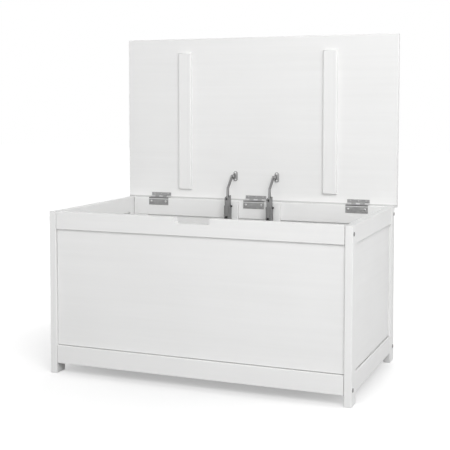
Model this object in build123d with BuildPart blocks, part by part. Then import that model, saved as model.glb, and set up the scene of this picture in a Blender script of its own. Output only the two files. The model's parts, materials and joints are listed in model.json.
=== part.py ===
from build123d import *
import os

# White wooden toy box: a frame-and-panel chest on four legs, with a lid on three hinges that two
# spring-loaded supports hold up. Millimetres, +Z up, the front towards -Y. The origin is on the
# floor, at the middle of the footprint with the lid standing open, which is how the part rests.

# Chest, over the legs
box_width = 816.0
box_depth = 467.0
rim_height = 430.0
edge_ease = 1.0

# Legs, rails and stiles
leg_width = 19.0
leg_depth = 41.0
rail_thickness = 18.0
rail_setback = 1.5
rail_floor_gap = 27.0
bottom_rail_height = 48.0
front_rail_height = 46.5
side_rail_height = 46.0
back_rail_height = 52.0
front_reveal_width = 1.3
back_reveal_width = 2.6
reveal_depth = 4.0
back_stile_width = 48.0

# Finger notch in the front top rail
notch_width = 96.0
notch_depth = 15.5
notch_corner = 6.0

# Panels, held in grooves
panel_thickness = 5.5
panel_recess = 6.0
panel_side_reveal = 1.0
panel_foot_reveal = 2.0
panel_reveal_depth = 3.0
groove_depth = 8.0
groove_play = 0.1
tongue_play = 0.5

# Bottom board and the ledgers under it
board_top = 60.0
board_thickness = 9.0
board_play = 0.5
ledger_size = 15.0
ledger_from_leg = 59.0

# Corner bolts with barrel nuts, and dowels
bolt_below_rim = 21.0
bolt_above_floor = 40.0
bolt_radius = 3.0
bolt_head_radius = 5.25
bolt_head_height = 1.6
nut_inset = 35.0
nut_radius = 5.0
nut_length = 14.0
bolt_past_nut = 3.0
dowel_radius = 4.0
dowel_length = 30.0
dowel_above_bolt = 12.0
side_dowel_inset = 10.0
side_dowel_spacing = 18.0
fit_play = 0.1

# Lid
lid_thickness = 15.0
lid_gap = 1.0
lid_overhang_side = 6.0
lid_overhang_front = 6.5
lid_overhang_back = 5.5
lid_ease = 1.5
batten_width = 39.5
batten_length = 405.0
batten_thickness = 11.0
batten_from_lid_side = 171.25
batten_from_lid_edge = 32.5
batten_chamfer = 2.0

# Hinges
hinge_length = 63.5
hinge_from_leg = 52.25
hinge_leaf = 1.2
hinge_bend_radius = 1.6
hinge_flange_height = 22.0
hinge_upper_height = 12.0
barrel_radius = 2.5
knuckle_count = 5
knuckle_play = 0.3
pin_radius = 1.3
pin_play = 0.05

# Screws
screw_radius = 1.5
screw_head_radius = 2.6
screw_head_height = 1.4
flange_head_radius = 3.2
hinge_screw_length = 12.0
fixed_screw_from_end = 8.0
fixed_screw_below_rim = 11.0
upper_screw_spacing = 22.0
upper_screw_from_edge = 4.5

# Lid supports: cleat, channel housing, plunger and spring
support_spacing = 128.0
support_shift = -7.5
cleat_width = 38.0
cleat_thickness = 11.0
cleat_below_rim = 2.0
housing_width = 15.0
housing_depth = 24.0
housing_wall = 1.2
housing_lip = 2.2
housing_length = 140.0
housing_below_rim = 12.0
housing_screw_length = 11.0
housing_screw_from_end = 13.0
plunger_play = 0.25
plunger_length = 60.0
plunger_above_rim = 17.0
plunger_top_fall = 7.0
plunger_relief_width = 8.0
plunger_relief_depth = 2.5
end_cap_thickness = 4.0
end_cap_play = 0.05
spring_radius = 4.0
spring_wire_radius = 0.6
spring_wire_sides = 6
spring_turns = 8
spring_boss_radius = 3.0
spring_boss_height = 4.0
spring_end_gap = 0.2
guide_below_rim = 15.0
guide_behind_middle = 6.0
guide_radius = 2.0
guide_reach = 1.0
guide_head_radius = 3.0
guide_head_height = 3.5
guide_play = 0.3

# Lid supports: bent link, lid bracket and its pin
link_thickness = 5.0
link_foot_radius = 6.0
link_foot_above_rim = 10.0
link_neck_length = 27.0
link_elbow_radius = 3.8
link_arm_radius = 3.0
link_eye_radius = 4.5
link_play = 0.3
bracket_pin_above_rim = 70.0
bracket_pin_from_lid = 9.0
bracket_width = 13.0
bracket_height = 29.0
bracket_thickness = 2.0
bracket_ear = 1.5
bracket_ear_from_middle = 4.3
bracket_screw_spacing = 20.0
rivet_radius = 2.0
rivet_head_radius = 3.5
rivet_head_height = 1.2

# Places that follow from the sizes above
front_y = -(box_depth + lid_gap + lid_thickness) / 2
back_y = front_y + box_depth
lid_face_y = back_y + lid_gap
side_x = box_width / 2
leg_inner_x = side_x - leg_width
front_leg_y = (front_y, front_y + leg_depth)
back_leg_y = (back_y - leg_depth, back_y)
front_rail_y = (front_y + rail_setback, front_y + rail_setback + rail_thickness)
back_rail_y = (back_y - rail_setback - rail_thickness, back_y - rail_setback)
side_rail_x = (side_x - rail_setback - rail_thickness, side_x - rail_setback)
side_rail_y = (front_leg_y[1], back_leg_y[0])
bottom_rail_z = (rail_floor_gap, rail_floor_gap + bottom_rail_height)
front_rail_z = (rim_height - front_rail_height, rim_height)
side_rail_z = (rim_height - side_rail_height, rim_height)
back_rail_z = (rim_height - back_rail_height, rim_height)
axis_y = lid_face_y - barrel_radius
axis_z = rim_height + barrel_radius
lid_width = box_width + 2 * lid_overhang_side
lid_depth = box_depth + lid_overhang_front + lid_overhang_back
lid_bottom_z = axis_z - (back_y + lid_overhang_back - axis_y)
cleat_y = (back_rail_y[0] - cleat_thickness, back_rail_y[0])
housing_y = (cleat_y[0] - housing_depth, cleat_y[0])
housing_z = (rim_height - housing_below_rim - housing_length, rim_height - housing_below_rim)
support_y = (housing_y[0] + housing_y[1]) / 2
plunger_top_z = rim_height + plunger_above_rim
plunger_z = (plunger_top_z - plunger_length, plunger_top_z)
foot_z = rim_height + link_foot_above_rim
bracket_pin_y = lid_face_y - bracket_pin_from_lid
bracket_pin_z = rim_height + bracket_pin_above_rim
guide_y = support_y + guide_behind_middle
guide_z = rim_height - guide_below_rim

sides = {"left": -1, "right": 1}
corner_rows = {"front": (front_leg_y, front_rail_y), "back": (back_leg_y, back_rail_y)}
hinge_reach = leg_inner_x - hinge_from_leg - hinge_length / 2
hinge_places = {"left": -hinge_reach, "middle": 0.0, "right": hinge_reach}
bolt_heights = (bolt_above_floor, rim_height - bolt_below_rim)


def middle(span):
    """The place halfway between two places."""
    return (span[0] + span[1]) / 2


def mirrored(span, side):
    """A span on the right side, or its mirror image on the left."""
    return (side * span[0], side * span[1])


def block(x_span, y_span, z_span, mode=Mode.ADD):
    """A block between two places along each axis."""
    spans = (x_span, y_span, z_span)
    with Locations(tuple(middle(span) for span in spans)):
        Box(*(abs(span[1] - span[0]) for span in spans), mode=mode)


def rod(start, direction, length, radius, mode=Mode.ADD):
    """A round rod from a point, in a direction."""
    with BuildSketch(Plane(origin=start, z_dir=direction)) as section:
        Circle(radius)
    extrude(section.sketch, amount=length, mode=mode)


def screw(seat, direction, length, head_radius=screw_head_radius):
    """A pan-head screw whose head rests on its seat."""
    outward = tuple(-part for part in direction)
    rod(seat, outward, screw_head_height, head_radius)
    rod(seat, direction, length, screw_radius)


def screw_hole(seat, direction, length):
    """The hole that a screw's shank goes into, a little deeper than the shank."""
    rod(seat, direction, length + tongue_play, screw_radius + fit_play, mode=Mode.SUBTRACT)


def save(builder, name):
    """Label a finished piece and write it."""
    builder.part.label = name
    export_step(builder.part, f"parts/{name}.step")


def panel_spans(name):
    """A panel's spans along X, Y and Z, with its edges in the grooves around it."""
    tongue = groove_depth - tongue_play
    low_z = bottom_rail_z[1] - tongue
    if name == "front_panel":
        face = front_rail_y[0] + panel_recess
        reach_x = leg_inner_x + tongue
        return ((-reach_x, reach_x), (face, face + panel_thickness), (low_z, front_rail_z[0] + tongue))
    if name == "back_panel":
        face = back_rail_y[1] - panel_recess
        reach_x = leg_inner_x - back_stile_width + tongue
        return ((-reach_x, reach_x), (face - panel_thickness, face), (low_z, back_rail_z[0] + tongue))
    face = side_rail_x[1] - panel_recess
    x_span = mirrored((face - panel_thickness, face), sides[name.split("_")[0]])
    y_span = (side_rail_y[0] - tongue, side_rail_y[1] + tongue)
    return (x_span, y_span, (low_z, side_rail_z[0] + tongue))


def panel_field(name, side_inset, foot_inset):
    """The outer skin of a panel within its frame, set in from the frame's sides and foot."""
    tongue = groove_depth - tongue_play
    spans = list(panel_spans(name))
    across = 1 if name in ("front_panel", "back_panel") else 0
    along = 1 - across
    low, high = sorted(spans[across])
    if name in ("front_panel", "left_panel"):
        spans[across] = (low, low + panel_reveal_depth)
    else:
        spans[across] = (high - panel_reveal_depth, high)
    inset = tongue + side_inset
    spans[along] = (spans[along][0] + inset, spans[along][1] - inset)
    spans[2] = (spans[2][0] + tongue + foot_inset, spans[2][1] - tongue)
    return spans


def groove(name):
    """Cut the groove for a panel, with play at its faces and at its edges."""
    across = 1 if name in ("front_panel", "back_panel") else 0
    grown = []
    for axis, span in enumerate(panel_spans(name)):
        play = groove_play if axis == across else tongue_play
        grown.append((min(span) - play, max(span) + play))
    block(*grown, mode=Mode.SUBTRACT)


def rail_dowels(side, rail_y):
    """Start points of the dowels between a leg and the front or back rails' ends."""
    start_x = side * (leg_inner_x - dowel_length / 2)
    return [(start_x, middle(rail_y), height + dowel_above_bolt) for height in bolt_heights]


def side_dowels(side, joint_y):
    """Start points of the dowels between a leg and the side rails' ends, along +Y."""
    top = rim_height - side_dowel_inset
    bottom = rail_floor_gap + side_dowel_inset
    heights = (top, top - side_dowel_spacing, bottom, bottom + side_dowel_spacing)
    start_y = joint_y - dowel_length / 2
    return [(side * middle(side_rail_x), start_y, height) for height in heights]


def corner_holes(side, rail_y):
    """Bore the bolt and dowel holes where a leg meets the front or back rails."""
    outward = (side, 0, 0)
    bore = bolt_radius + fit_play
    for height in bolt_heights:
        inner_x = side * (leg_inner_x - nut_inset - nut_radius - bolt_past_nut)
        reach = leg_width + nut_inset + nut_radius + bolt_past_nut
        rod((inner_x, middle(rail_y), height), outward, reach, bore, mode=Mode.SUBTRACT)
    for start in rail_dowels(side, rail_y):
        rod(start, outward, dowel_length, dowel_radius + fit_play, mode=Mode.SUBTRACT)


def side_joint_holes(side, joint_y):
    """Bore the dowel holes where a leg meets the side rails."""
    for start in side_dowels(side, joint_y):
        rod(start, (0, 1, 0), dowel_length, dowel_radius + fit_play, mode=Mode.SUBTRACT)


def nut_place(side, row, height):
    """Where a barrel nut starts, on a rail's rear face, and the way it goes in."""
    rail_y = corner_rows[row][1]
    return (side * (leg_inner_x - nut_inset), rail_y[1], height), (0, -1, 0)


def make_leg(side_name, row):
    """A corner leg, grooved for the panels that meet there and bored for bolts and dowels."""
    side = sides[side_name]
    leg_y, rail_y = corner_rows[row]
    with BuildPart() as leg:
        with BuildSketch():
            with Locations((side * (side_x - leg_width / 2), middle(leg_y))):
                Rectangle(leg_width, leg_depth)
        extrude(amount=rim_height)
        chamfer(leg.edges(), edge_ease)
        groove(f"{side_name}_panel")
        if row == "front":
            groove("front_panel")
        corner_holes(side, rail_y)
        side_joint_holes(side, leg_y[1] if row == "front" else leg_y[0])
    save(leg, f"{row}_{side_name}_leg")


def rail_end_holes(row, height):
    """Bore one long rail for its bolts, barrel nuts and dowels at both ends."""
    for side in sides.values():
        corner_holes(side, corner_rows[row][1])
        start, inward = nut_place(side, row, height)
        rod(start, inward, nut_length + fit_play, nut_radius + fit_play, mode=Mode.SUBTRACT)


def end_reveals(rail_y, z_span, width):
    """Cut a shadow gap into the front of a long rail, beside the legs at its ends."""
    for side in sides.values():
        reveal_x = mirrored((leg_inner_x - width, leg_inner_x), side)
        block(reveal_x, (rail_y[0], rail_y[0] + reveal_depth), z_span, mode=Mode.SUBTRACT)


def make_long_rail(row, level, z_span):
    """A front or back rail between two legs; the front top rail has the finger notch."""
    rail_y = corner_rows[row][1]
    with BuildPart() as rail:
        with BuildSketch(Plane.XZ.offset(-rail_y[1])):
            with Locations((0, middle(z_span))):
                Rectangle(2 * leg_inner_x, z_span[1] - z_span[0])
            if (row, level) == ("front", "top"):
                with Locations((0, rim_height)):
                    Rectangle(notch_width, 2 * notch_depth, mode=Mode.SUBTRACT)
        extrude(amount=rail_thickness)
        if (row, level) == ("front", "top"):
            upright = rail.edges().filter_by(Axis.Y).group_by(Axis.Z)
            fillet(upright[1], notch_corner)
        rail_edges = rail.edges().filter_by(Axis.X)
        chamfer([edge for edge in rail_edges if edge.length > notch_width], edge_ease)
        groove(f"{row}_panel")
        rail_end_holes(row, bolt_heights[0] if level == "bottom" else bolt_heights[1])
        if (row, level) == ("back", "top"):
            for place_x in hinge_places.values():
                for seat in fixed_screw_seats(place_x):
                    screw_hole(seat, (0, 1, 0), hinge_screw_length)
            end_reveals(rail_y, z_span, back_reveal_width)
        if row == "front":
            end_reveals(rail_y, z_span, front_reveal_width)
    save(rail, f"{row}_{level}_rail")


def make_side_rail(side_name, level, z_span):
    """A side rail between a front and a back leg."""
    side = sides[side_name]
    with BuildPart() as rail:
        block(mirrored(side_rail_x, side), side_rail_y, z_span)
        chamfer(rail.edges().filter_by(Axis.Y), edge_ease)
        groove(f"{side_name}_panel")
        for joint_y in side_rail_y:
            side_joint_holes(side, joint_y)
    save(rail, f"{side_name}_{level}_rail")


def make_back_stile(side_name):
    """An upright between the back rails, beside a back leg."""
    span_x = mirrored((leg_inner_x - back_stile_width, leg_inner_x), sides[side_name])
    with BuildPart() as stile:
        block(span_x, back_rail_y, (bottom_rail_z[1], back_rail_z[0]))
        groove("back_panel")
    save(stile, f"back_{side_name}_stile")


def make_panel(name):
    """A flat panel, with a shadow gap along the frame at its sides and its foot."""
    with BuildPart() as panel:
        block(*panel_spans(name))
        block(*panel_field(name, 0, 0), mode=Mode.SUBTRACT)
        block(*panel_field(name, panel_side_reveal, panel_foot_reveal))
    save(panel, name)


def make_bottom():
    """The bottom board and the two ledgers that it lies on."""
    reach_x = side_rail_x[0] - board_play
    board_y = (front_rail_y[1] + board_play, back_rail_y[0] - board_play)
    board_bottom = board_top - board_thickness
    with BuildPart() as board:
        block((-reach_x, reach_x), board_y, (board_bottom, board_top))
    save(board, "bottom_board")
    ledger_z = (board_bottom - ledger_size, board_bottom)
    ledger_reach = leg_inner_x - ledger_from_leg
    ledger_rows = {
        "front": (front_rail_y[1], front_rail_y[1] + ledger_size),
        "back": (back_rail_y[0] - ledger_size, back_rail_y[0]),
    }
    for row, ledger_y in ledger_rows.items():
        with BuildPart() as ledger:
            block((-ledger_reach, ledger_reach), ledger_y, ledger_z)
        save(ledger, f"{row}_ledger")


def make_corner_hardware():
    """The bolts through the legs, the barrel nuts in the rails, and all the dowels."""
    reach = leg_width + nut_inset + nut_radius + bolt_past_nut - fit_play
    corners = [(side, row) for side in sides.values() for row in corner_rows]
    with BuildPart() as bolts:
        for side, row in corners:
            for height in bolt_heights:
                seat = (side * side_x, middle(corner_rows[row][1]), height)
                rod(seat, (side, 0, 0), bolt_head_height, bolt_head_radius)
                rod(seat, (-side, 0, 0), reach, bolt_radius)
    save(bolts, "connector_bolts")
    with BuildPart() as nuts:
        for side, row in corners:
            for height in bolt_heights:
                start, inward = nut_place(side, row, height)
                rod(start, inward, nut_length, nut_radius)
            corner_holes(side, corner_rows[row][1])
    save(nuts, "barrel_nuts")
    with BuildPart() as dowels:
        for side, row in corners:
            for start in rail_dowels(side, corner_rows[row][1]):
                rod(start, (side, 0, 0), dowel_length, dowel_radius)
            joint_y = side_rail_y[0] if row == "front" else side_rail_y[1]
            for start in side_dowels(side, joint_y):
                rod(start, (0, 1, 0), dowel_length, dowel_radius)
    save(dowels, "frame_dowels")


def fixed_screw_seats(place_x):
    """Where the screws of a fixed hinge leaf rest, on its flange inside the chest."""
    reach = hinge_length / 2 - fixed_screw_from_end
    seat_y = back_rail_y[0] - hinge_leaf
    return [(place_x + way * reach, seat_y, rim_height - fixed_screw_below_rim) for way in (-1, 1)]


def upper_screw_seats(place_x):
    """Where the screws of a moving hinge leaf rest, on the open lid."""
    height = axis_z + hinge_upper_height - upper_screw_from_edge
    steps = (-upper_screw_spacing, 0, upper_screw_spacing)
    return [(place_x + step, lid_face_y - hinge_leaf, height) for step in steps]


def knuckle_span(place_x, index):
    """The span along X of one of a hinge's knuckles."""
    pitch = hinge_length / knuckle_count
    start = place_x - hinge_length / 2 + index * pitch
    return (start, start + pitch)


def clear_knuckles(place_x, first, y_span, z_span):
    """Cut away every second knuckle, with play, for the other leaf."""
    for index in range(first, knuckle_count, 2):
        low, high = knuckle_span(place_x, index)
        block((low - knuckle_play / 2, high + knuckle_play / 2), y_span, z_span, mode=Mode.SUBTRACT)


def pin_bore(place_x):
    """Bore a leaf's knuckles for the hinge pin."""
    start = (place_x - hinge_length, axis_y, axis_z)
    rod(start, (1, 0, 0), 2 * hinge_length, pin_radius + pin_play, mode=Mode.SUBTRACT)


def make_hinge(name, place_x):
    """A hinge: a leaf bent over the back rail, a leaf on the lid, and the pin through both."""
    start_plane = Plane.YZ.offset(place_x - hinge_length / 2)
    flange_y = back_rail_y[0] - hinge_leaf
    flange_z = rim_height - hinge_flange_height
    around = barrel_radius + knuckle_play
    with BuildPart() as fixed:
        with BuildSketch(start_plane):
            with BuildLine():
                Polyline(
                    (flange_y, flange_z),
                    (flange_y, rim_height + hinge_leaf),
                    (axis_y, rim_height + hinge_leaf),
                    (axis_y, rim_height),
                    (back_rail_y[0], rim_height),
                    (back_rail_y[0], flange_z),
                    close=True,
                )
            make_face()
            with Locations((axis_y, axis_z)):
                Circle(barrel_radius)
        extrude(amount=hinge_length)
        bend = (place_x, flange_y, rim_height + hinge_leaf)
        fillet(fixed.edges().filter_by(Axis.X).sort_by_distance(bend)[0], hinge_bend_radius)
        clear_knuckles(place_x, 1, (axis_y - around, axis_y + around), (rim_height, axis_z + around))
        pin_bore(place_x)
        for seat in fixed_screw_seats(place_x):
            screw_hole(seat, (0, 1, 0), hinge_leaf)
    save(fixed, f"{name}_hinge_fixed_leaf")
    with BuildPart() as moving:
        with BuildSketch(start_plane):
            with Locations((lid_face_y - hinge_leaf / 2, axis_z + hinge_upper_height / 2)):
                Rectangle(hinge_leaf, hinge_upper_height)
            with Locations((axis_y, axis_z)):
                Circle(barrel_radius)
        extrude(amount=hinge_length)
        clear_knuckles(place_x, 0, (axis_y - around, lid_face_y + around), (rim_height, axis_z + around))
        pin_bore(place_x)
        for seat in upper_screw_seats(place_x):
            screw_hole(seat, (0, 1, 0), hinge_leaf)
    save(moving, f"{name}_hinge_moving_leaf")
    with BuildPart() as pin:
        rod((place_x - hinge_length / 2, axis_y, axis_z), (1, 0, 0), hinge_length, pin_radius)
    save(pin, f"{name}_hinge_pin")


def make_hinge_screws():
    """The hinge screws, those in the chest and those in the lid."""
    with BuildPart() as fixed_screws:
        for place_x in hinge_places.values():
            for seat in fixed_screw_seats(place_x):
                screw(seat, (0, 1, 0), hinge_screw_length, flange_head_radius)
    save(fixed_screws, "fixed_leaf_screws")
    with BuildPart() as moving_screws:
        for place_x in hinge_places.values():
            for seat in upper_screw_seats(place_x):
                screw(seat, (0, 1, 0), hinge_screw_length)
    save(moving_screws, "moving_leaf_screws")


def bracket_x(side):
    """The middle of a lid bracket and of the cleat below it."""
    return side * support_spacing / 2


def support_x(side):
    """The middle of a support's housing; both supports are of the same hand."""
    return bracket_x(side) + support_shift


def housing_screw_seats(side):
    """Where a housing's two screws rest, on the inside of its web: the lower one first."""
    seat_y = housing_y[1] - housing_wall
    heights = (housing_z[0] + housing_screw_from_end, housing_z[1] - housing_screw_from_end)
    return [(support_x(side), seat_y, height) for height in heights]


def bracket_screw_seats(side):
    """Where a lid bracket's two screws rest."""
    seat_y = lid_face_y - bracket_thickness
    reach = bracket_screw_spacing / 2
    return [(bracket_x(side), seat_y, bracket_pin_z + way * reach) for way in (-1, 1)]


def make_lid():
    """The lid board, standing open, and the two battens on its underside."""
    with BuildPart() as lid:
        with BuildSketch(Plane.XZ.offset(-lid_face_y - lid_thickness)):
            with Locations((0, lid_bottom_z + lid_depth / 2)):
                Rectangle(lid_width, lid_depth)
        extrude(amount=lid_thickness)
        chamfer(lid.edges(), lid_ease)
        for place_x in hinge_places.values():
            for seat in upper_screw_seats(place_x):
                screw_hole(seat, (0, 1, 0), hinge_screw_length)
        for side in sides.values():
            for seat in bracket_screw_seats(side):
                screw_hole(seat, (0, 1, 0), hinge_screw_length)
    save(lid, "lid_board")
    batten_x = lid_width / 2 - batten_from_lid_side - batten_width / 2
    batten_z = lid_bottom_z + batten_from_lid_edge + batten_length / 2
    for name, side in sides.items():
        with BuildPart() as batten:
            with BuildSketch(Plane.XZ.offset(-lid_face_y)):
                with Locations((side * batten_x, batten_z)):
                    Rectangle(batten_width, batten_length)
            extrude(amount=batten_thickness)
            chamfer(batten.faces().sort_by(Axis.Y)[0].edges(), batten_chamfer)
        save(batten, f"{name}_batten")


def make_cleat(name, side):
    """The upright strip behind a lid support, from the bottom board to just under the rim."""
    reach = cleat_width / 2
    with BuildPart() as cleat:
        x_span = (bracket_x(side) - reach, bracket_x(side) + reach)
        block(x_span, cleat_y, (board_top, rim_height - cleat_below_rim))
        chamfer(cleat.faces().sort_by(Axis.Y)[0].edges().filter_by(Axis.Z), edge_ease)
        for seat in housing_screw_seats(side):
            screw_hole(seat, (0, 1, 0), housing_screw_length)
    save(cleat, f"{name}_cleat")


def make_housing(name, side):
    """A channel with turned-in lips, screwed to its cleat and open to the front."""
    slot_width = housing_width - 2 * housing_wall - 2 * housing_lip
    with BuildPart() as housing:
        with BuildSketch(Plane.XY.offset(housing_z[0])):
            with Locations((support_x(side), support_y)):
                RectangleRounded(housing_width, housing_depth, housing_wall)
                Rectangle(housing_width - 2 * housing_wall, housing_depth - 2 * housing_wall, mode=Mode.SUBTRACT)
            with Locations((support_x(side), housing_y[0])):
                Rectangle(slot_width, 4 * housing_wall, mode=Mode.SUBTRACT)
        extrude(amount=housing_length)
        for seat in housing_screw_seats(side):
            screw_hole(seat, (0, 1, 0), housing_wall)
        guide_start = (support_x(side), guide_y, guide_z)
        rod(guide_start, (1, 0, 0), housing_width, guide_radius + fit_play, mode=Mode.SUBTRACT)
    save(housing, f"{name}_support_housing")


def make_end_cap(name, side):
    """The plug at the foot of a housing, with the boss that centres the spring."""
    inner_x = housing_width / 2 - housing_wall - end_cap_play
    inner_y = housing_depth / 2 - housing_wall - end_cap_play
    top_z = housing_z[0] + end_cap_thickness
    with BuildPart() as cap:
        with BuildSketch(Plane.XY.offset(housing_z[0])):
            with Locations((support_x(side), support_y)):
                Rectangle(2 * inner_x, 2 * inner_y)
        extrude(amount=end_cap_thickness)
        rod((support_x(side), support_y, top_z), (0, 0, 1), spring_boss_height, spring_boss_radius)
    save(cap, f"{name}_support_end_cap")


def make_spring(name, side):
    """The coil spring between an end cap and its plunger, at its open length."""
    low_z = housing_z[0] + end_cap_thickness + spring_end_gap + spring_wire_radius
    high_z = plunger_z[0] - spring_end_gap - spring_wire_radius
    rise = high_z - low_z
    with BuildPart() as spring:
        with BuildLine() as wire:
            Helix(rise / spring_turns, rise, spring_radius, center=(support_x(side), support_y, low_z))
        with BuildSketch(Plane(origin=wire.line @ 0, z_dir=wire.line % 0)):
            RegularPolygon(spring_wire_radius, spring_wire_sides)
        sweep(is_frenet=True)
    save(spring, f"{name}_spring")


def make_guide_screw(name, side):
    """The stub in a housing's right flange, which stops the plunger at the top of its travel."""
    flange_x = support_x(side) + housing_width / 2
    tip = housing_wall + guide_reach
    with BuildPart() as guide:
        seat = (flange_x, guide_y, guide_z)
        rod(seat, (1, 0, 0), guide_head_height, guide_head_radius)
        fillet(guide.faces().sort_by(Axis.X)[-1].edges(), guide_head_height / 3)
        rod(seat, (-1, 0, 0), tip, guide_radius)
    save(guide, f"{name}_guide_screw")


def make_plunger(name, side):
    """The plunger in a housing, with a slanted top and a saddle for the link's foot."""
    width = housing_width - 2 * housing_wall - 2 * plunger_play
    depth = housing_depth - 2 * housing_wall - 2 * plunger_play
    plunger_y = (support_y - depth / 2, support_y + depth / 2)
    saddle_radius = link_foot_radius + link_play
    saddle_width = link_thickness + 2 * link_play
    above = plunger_length
    mid_plane = Plane.YZ.offset(support_x(side))
    with BuildPart() as plunger:
        with BuildSketch(mid_plane):
            with BuildLine():
                Polyline(
                    (plunger_y[0], plunger_z[0]),
                    (plunger_y[1], plunger_z[0]),
                    (plunger_y[1], plunger_z[1]),
                    (plunger_y[0], plunger_z[1] - plunger_top_fall),
                    close=True,
                )
            make_face()
        extrude(amount=width / 2, both=True)
        chamfer(plunger.edges().filter_by(Axis.Z), edge_ease)
        rod((support_x(side), support_y, plunger_z[0]), (0, 0, -1), spring_boss_height, spring_boss_radius)
        with BuildSketch(mid_plane):
            with Locations((support_y, foot_z)):
                Circle(saddle_radius)
                Rectangle(depth, saddle_radius + above, align=(Align.MAX, Align.MIN))
                Rectangle(saddle_radius, above, align=(Align.MIN, Align.MIN))
            with Locations((support_y, foot_z)):
                Rectangle(depth, saddle_radius, align=(Align.MAX, Align.MAX))
        extrude(amount=saddle_width / 2, both=True, mode=Mode.SUBTRACT)
        relief_x = (support_x(side) - plunger_relief_width / 2, support_x(side) + plunger_relief_width / 2)
        relief_y = (plunger_y[1] - plunger_relief_depth, plunger_y[1])
        block(relief_x, relief_y, (plunger_z[0], plunger_z[1]), mode=Mode.SUBTRACT)
        flank_x = support_x(side) + width / 2
        groove_x = (flank_x - guide_reach + plunger_play - guide_play, flank_x)
        groove_half = guide_radius + guide_play
        groove_z = (guide_z - groove_half, plunger_z[1])
        block(groove_x, (guide_y - groove_half, guide_y + groove_half), groove_z, mode=Mode.SUBTRACT)
    save(plunger, f"{name}_plunger")


def make_link(name, side):
    """The bent arm between a plunger's saddle and the pin of a lid bracket."""
    elbow = (support_y, foot_z + link_neck_length)
    mid_plane = Plane.YZ.offset(support_x(side))
    with BuildPart() as link:
        with BuildSketch(mid_plane) as neck:
            with Locations((support_y, foot_z)):
                Circle(link_foot_radius)
            with Locations(elbow):
                Circle(link_elbow_radius)
            make_hull()
        extrude(amount=link_thickness / 2, both=True)
        with BuildSketch(mid_plane) as arm:
            with Locations(elbow):
                Circle(link_arm_radius)
            with Locations((bracket_pin_y, bracket_pin_z)):
                Circle(link_arm_radius)
            make_hull()
            with Locations((bracket_pin_y, bracket_pin_z)):
                Circle(link_eye_radius)
                Circle(rivet_radius + pin_play, mode=Mode.SUBTRACT)
        extrude(amount=link_thickness / 2, both=True)
    save(link, f"{name}_link")


def make_lid_bracket(name, side):
    """The oval plate on the lid, with the ear that the link's pin is riveted to."""
    ear_x = bracket_x(side) - bracket_ear_from_middle
    with BuildPart() as bracket:
        with BuildSketch(Plane.XZ.offset(-lid_face_y)):
            with Locations((bracket_x(side), bracket_pin_z)):
                SlotOverall(bracket_height, bracket_width, rotation=90)
        extrude(amount=bracket_thickness)
        with BuildSketch(Plane.YZ.offset(ear_x)):
            with Locations((bracket_pin_y, bracket_pin_z)):
                Circle(link_eye_radius)
            with Locations((lid_face_y, bracket_pin_z)):
                Rectangle(bracket_thickness, bracket_screw_spacing, align=(Align.MAX, Align.CENTER))
            make_hull()
            with Locations((bracket_pin_y, bracket_pin_z)):
                Circle(rivet_radius + pin_play, mode=Mode.SUBTRACT)
        extrude(amount=bracket_ear)
        for seat in bracket_screw_seats(side):
            screw_hole(seat, (0, 1, 0), bracket_thickness)
    save(bracket, f"{name}_lid_bracket")
    with BuildPart() as pin:
        ear_face = (ear_x, bracket_pin_y, bracket_pin_z)
        inner_face = (ear_x + bracket_ear, bracket_pin_y, bracket_pin_z)
        shoulder = ear_x - support_x(side) - link_thickness / 2 - link_play
        outer_x = support_x(side) - link_thickness / 2 - link_play
        rod(inner_face, (1, 0, 0), rivet_head_height, rivet_head_radius)
        rod(inner_face, (-1, 0, 0), inner_face[0] - outer_x, rivet_radius)
        rod(ear_face, (-1, 0, 0), shoulder, rivet_head_radius)
        rod((outer_x, bracket_pin_y, bracket_pin_z), (-1, 0, 0), rivet_head_height, rivet_head_radius)
    save(pin, f"{name}_bracket_pin")


def make_support_screws():
    """The screws of the two housings and of the two lid brackets."""
    with BuildPart() as housing_screws:
        for side in sides.values():
            for seat in housing_screw_seats(side):
                screw(seat, (0, 1, 0), housing_screw_length)
    save(housing_screws, "housing_screws")
    with BuildPart() as bracket_screws:
        for side in sides.values():
            for seat in bracket_screw_seats(side):
                screw(seat, (0, 1, 0), hinge_screw_length)
    save(bracket_screws, "bracket_screws")


os.makedirs("parts", exist_ok=True)

for side_name in sides:
    for row in corner_rows:
        make_leg(side_name, row)
    make_side_rail(side_name, "top", side_rail_z)
    make_side_rail(side_name, "bottom", bottom_rail_z)
    make_back_stile(side_name)
make_long_rail("front", "top", front_rail_z)
make_long_rail("back", "top", back_rail_z)
for row in corner_rows:
    make_long_rail(row, "bottom", bottom_rail_z)
for panel_name in ("front_panel", "back_panel", "left_panel", "right_panel"):
    make_panel(panel_name)
make_bottom()
make_corner_hardware()

make_lid()
for hinge_name, hinge_x in hinge_places.items():
    make_hinge(hinge_name, hinge_x)
make_hinge_screws()

for side_name, side_sign in sides.items():
    make_cleat(side_name, side_sign)
    make_housing(side_name, side_sign)
    make_end_cap(side_name, side_sign)
    make_spring(side_name, side_sign)
    make_guide_screw(side_name, side_sign)
    make_plunger(side_name, side_sign)
    make_link(side_name, side_sign)
    make_lid_bracket(side_name, side_sign)
make_support_screws()
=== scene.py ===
"""A white painted wooden toy box with its lid held up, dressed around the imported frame.

Every piece is in metres and in the frame of the solids: +Z is up, the front looks towards -Y and
the origin is on the floor. The boards and plates are softened copies of their nodes, and the
turned hardware and the coil springs are modelled here.
"""

from __future__ import annotations

import json
import logging
import math
from dataclasses import dataclass
from enum import Enum

import bmesh
import bpy
from mathutils import Matrix, Vector

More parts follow.
